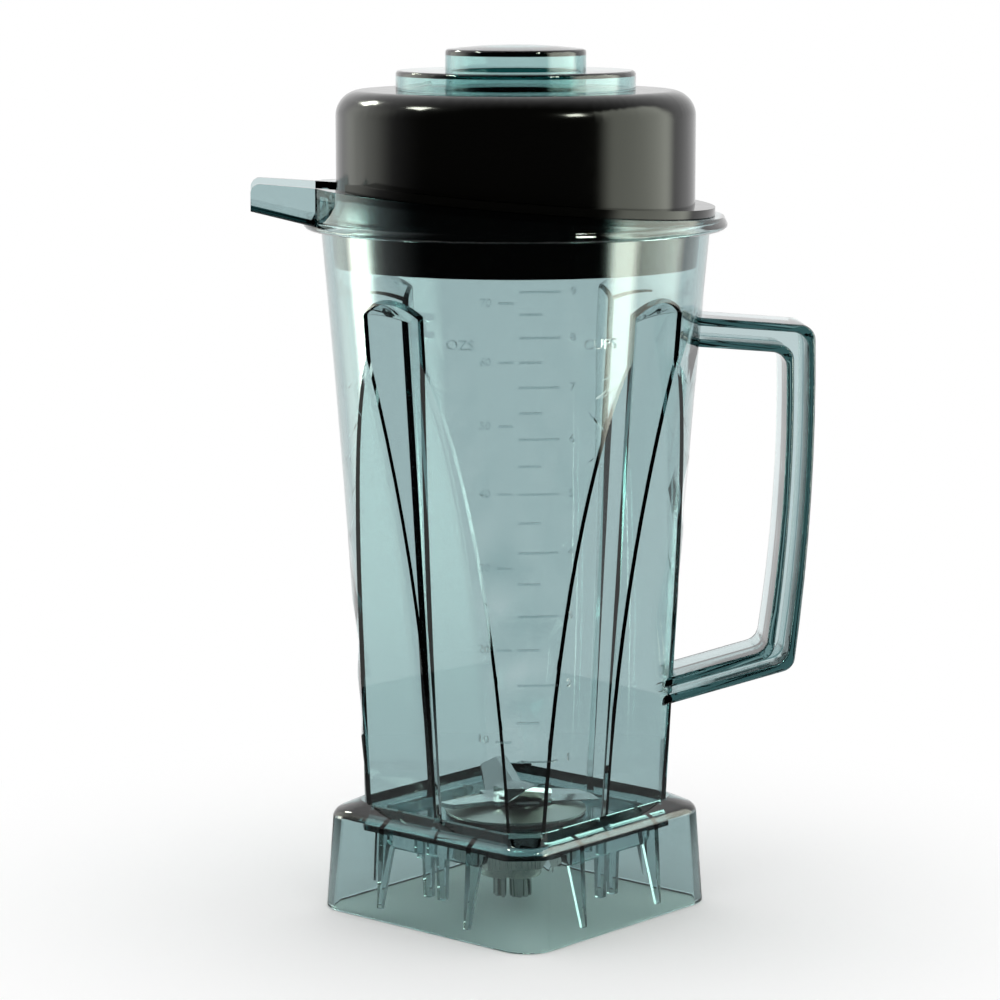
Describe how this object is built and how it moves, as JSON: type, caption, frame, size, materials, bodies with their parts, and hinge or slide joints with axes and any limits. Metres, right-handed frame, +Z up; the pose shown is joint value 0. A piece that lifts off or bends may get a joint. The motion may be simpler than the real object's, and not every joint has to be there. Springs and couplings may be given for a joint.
{
  "type": "blender jar",
  "caption": "Clear tinted blender jar, square below and round above, with a handle, pouring spout, rubber lid, clear lid plug and a spinning steel blade.",
  "frame": {"origin": "on the drive axis, in the plane of the skirt's lower rim that stands on the motor base", "axes": "+Z up along the drive axis, +X towards the handle, -X towards the spout; the square base has its corners on X and Y"},
  "size_m": [0.2111, 0.1588, 0.3289],
  "materials": {
    "clear_body": "clear, grey-blue tint",
    "black_rubber": "smooth satin",
    "clear_plug": "clear, pale grey tint",
    "housing_metal": "turned and plated",
    "seal_rubber": "matte",
    "steel": "bright",
    "bearing_steel": "ground",
    "cage_plastic": "moulded",
    "blade_steel": "bright stamped"
  },
  "bodies": {
    "jar": {"jar_body": "clear_body", "bearing_housing": "housing_metal", "housing_gasket": "seal_rubber", "retainer_washer": "steel", "retainer_nut": "housing_metal", "shaft_seal": "seal_rubber", "circlip": "steel", "upper_bearing_outer_ring": "bearing_steel", "upper_bearing_shields": "steel", "lower_bearing_outer_ring": "bearing_steel", "lower_bearing_shields": "steel"},
    "rotor": {"blade": "blade_steel", "blade_washer": "steel", "lock_washer": "steel", "blade_nut": "steel", "drive_shaft": "steel", "upper_bearing_inner_ring": "bearing_steel", "lower_bearing_inner_ring": "bearing_steel", "inner_spacer": "steel", "drive_spline": "steel", "spline_pin": "steel"},
    "upper_ball_set": {"upper_bearing_balls": "bearing_steel", "upper_bearing_cage": "cage_plastic"},
    "lower_ball_set": {"lower_bearing_balls": "bearing_steel", "lower_bearing_cage": "cage_plastic"},
    "lid": {"lid": "black_rubber"},
    "plug": {"lid_plug": "clear_plug"}
  },
  "joints": [
    {"name": "blade_spin", "type": "hinge", "parent": "jar", "child": "rotor", "pos_m": [0, 0, 0.0414], "axis": [0, 0, 1], "continuous": true},
    {"name": "upper_cage_spin", "type": "hinge", "parent": "jar", "child": "upper_ball_set", "pos_m": [0, 0, 0.0313], "axis": [0, 0, 1], "continuous": true},
    {"name": "lower_cage_spin", "type": "hinge", "parent": "jar", "child": "lower_ball_set", "pos_m": [0, 0, 0.0205], "axis": [0, 0, 1], "continuous": true},
    {"name": "lid_lift", "type": "slide", "parent": "jar", "child": "lid", "axis": [0, 0, 1], "range_m": [0, 0.08]},
    {"name": "plug_turn", "type": "hinge", "parent": "lid", "child": "plug", "pos_m": [0, 0, 0.3122], "axis": [0, 0, 1], "range_deg": [0, 75]}
  ],
  "couplings": [
    {"joint": "upper_cage_spin", "follows": "blade_spin", "ratio": 0.3677},
    {"joint": "lower_cage_spin", "follows": "blade_spin", "ratio": 0.3677}
  ]
}
